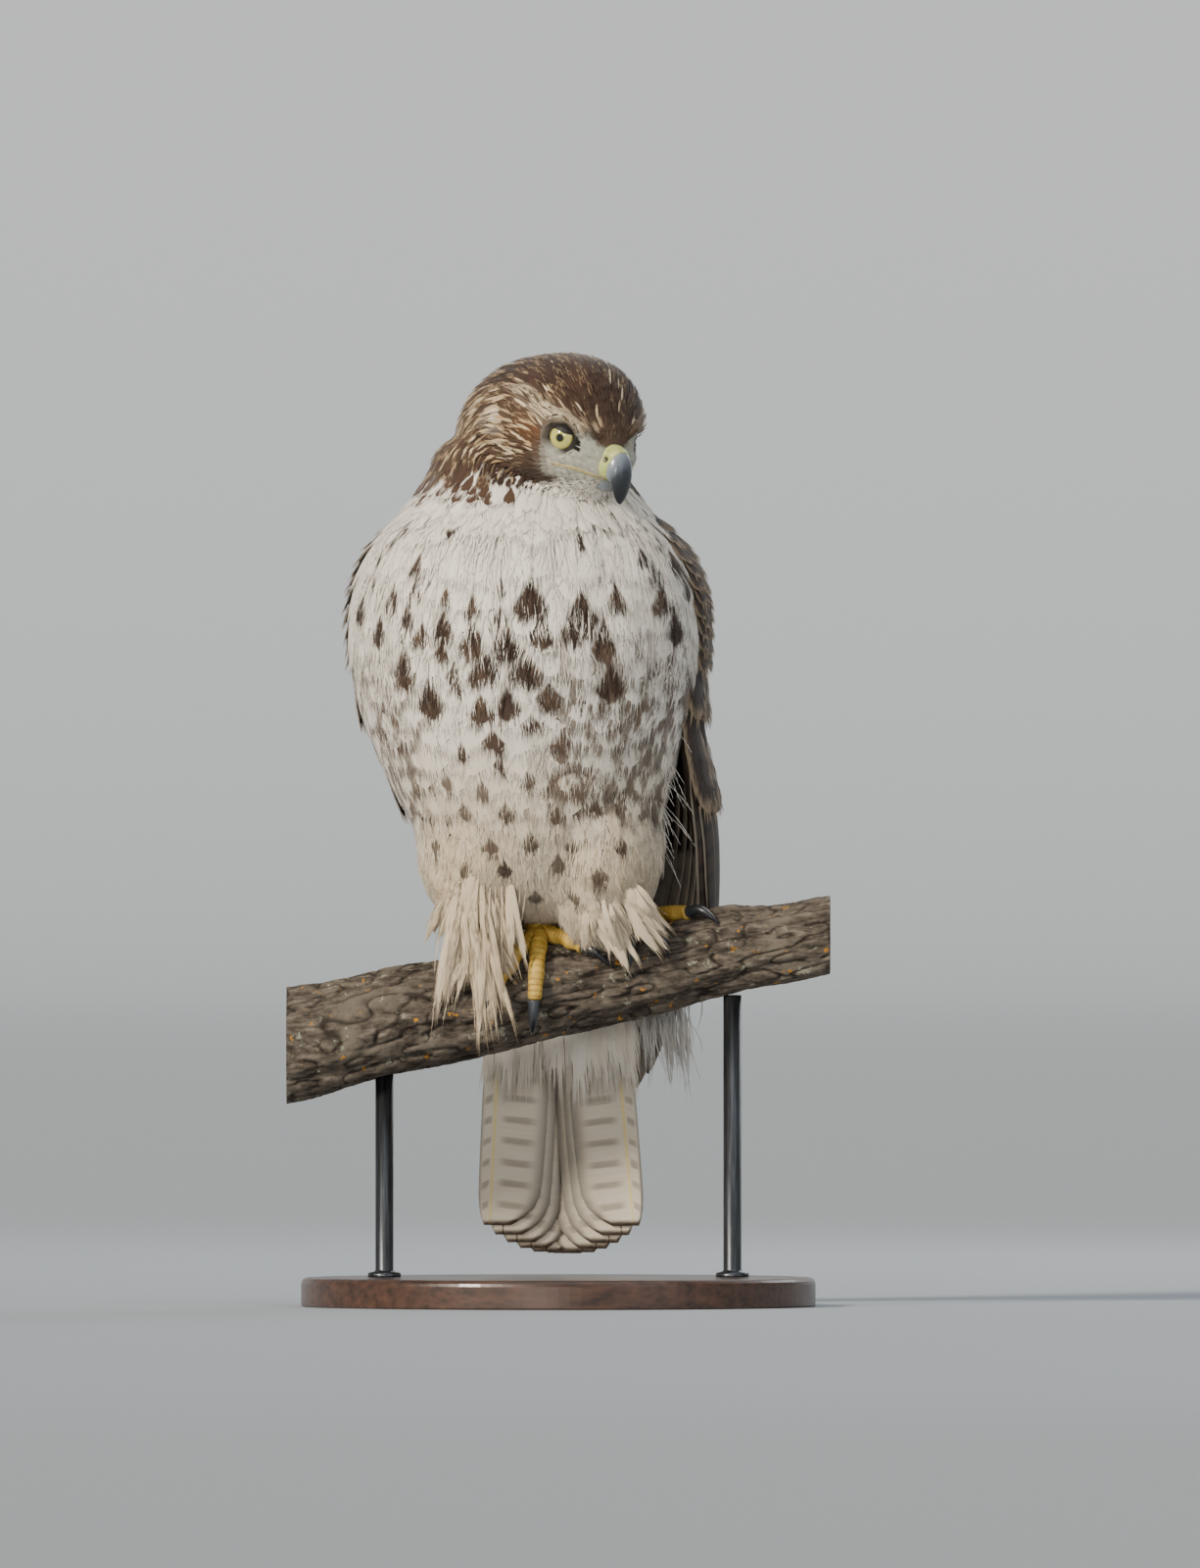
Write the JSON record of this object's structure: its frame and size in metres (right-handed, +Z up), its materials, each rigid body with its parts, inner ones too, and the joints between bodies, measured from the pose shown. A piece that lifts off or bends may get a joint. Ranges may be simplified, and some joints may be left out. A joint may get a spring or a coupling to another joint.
{
  "type": "red-tailed hawk on a perch",
  "caption": "Young red-tailed hawk perched with its head turned, on a cut length of branch held by a round display stand.",
  "frame": {"origin": "middle of the underside of the stand's round base", "axes": "+Z up, the bird's breast faces -Y, its left wing is on +X, and the branch runs along X and rises towards +X"},
  "size_m": [0.3, 0.284, 0.5243],
  "materials": {
    "breast_feathers": "cream feathers with dark brown drop marks, matt",
    "head_feathers": "dark brown feathers with buff streaks, matt",
    "wing_feathers": "dark brown flight feathers and coverts, slight sheen",
    "tail_feathers": "pale tail feathers with thin grey bars, slight sheen",
    "cere": "yellow-green bare skin, satin",
    "horn": "dark grey horn, satin",
    "claw_horn": "black horn, glossy",
    "eye": "pale yellow iris under a clear cornea, glossy",
    "toe_skin": "yellow scaled skin, satin",
    "bark": "rough grey-brown bark with lichen, matt",
    "base_wood": "dark stained and waxed, satin",
    "rod_metal": "dark grey, satin"
  },
  "bodies": {
    "root": {"head": "head_feathers", "cere": "cere", "bill_upper": "horn", "bill_lower": "horn", "eye_left": "eye", "eye_right": "eye", "torso": "breast_feathers", "neck": "breast_feathers", "thigh_left": "breast_feathers", "thigh_right": "breast_feathers", "wing_left": "wing_feathers", "wing_right": "wing_feathers", "tail": "tail_feathers", "leg_left": "toe_skin", "claw_left_1": "claw_horn", "claw_left_2": "claw_horn", "claw_left_3": "claw_horn", "claw_left_4": "claw_horn", "leg_right": "toe_skin", "claw_right_1": "claw_horn", "claw_right_2": "claw_horn", "claw_right_3": "claw_horn", "claw_right_4": "claw_horn", "perch": "bark", "stand_base": "base_wood", "stand_rod_left": "rod_metal", "stand_rod_right": "rod_metal"}
  },
  "joints": []
}
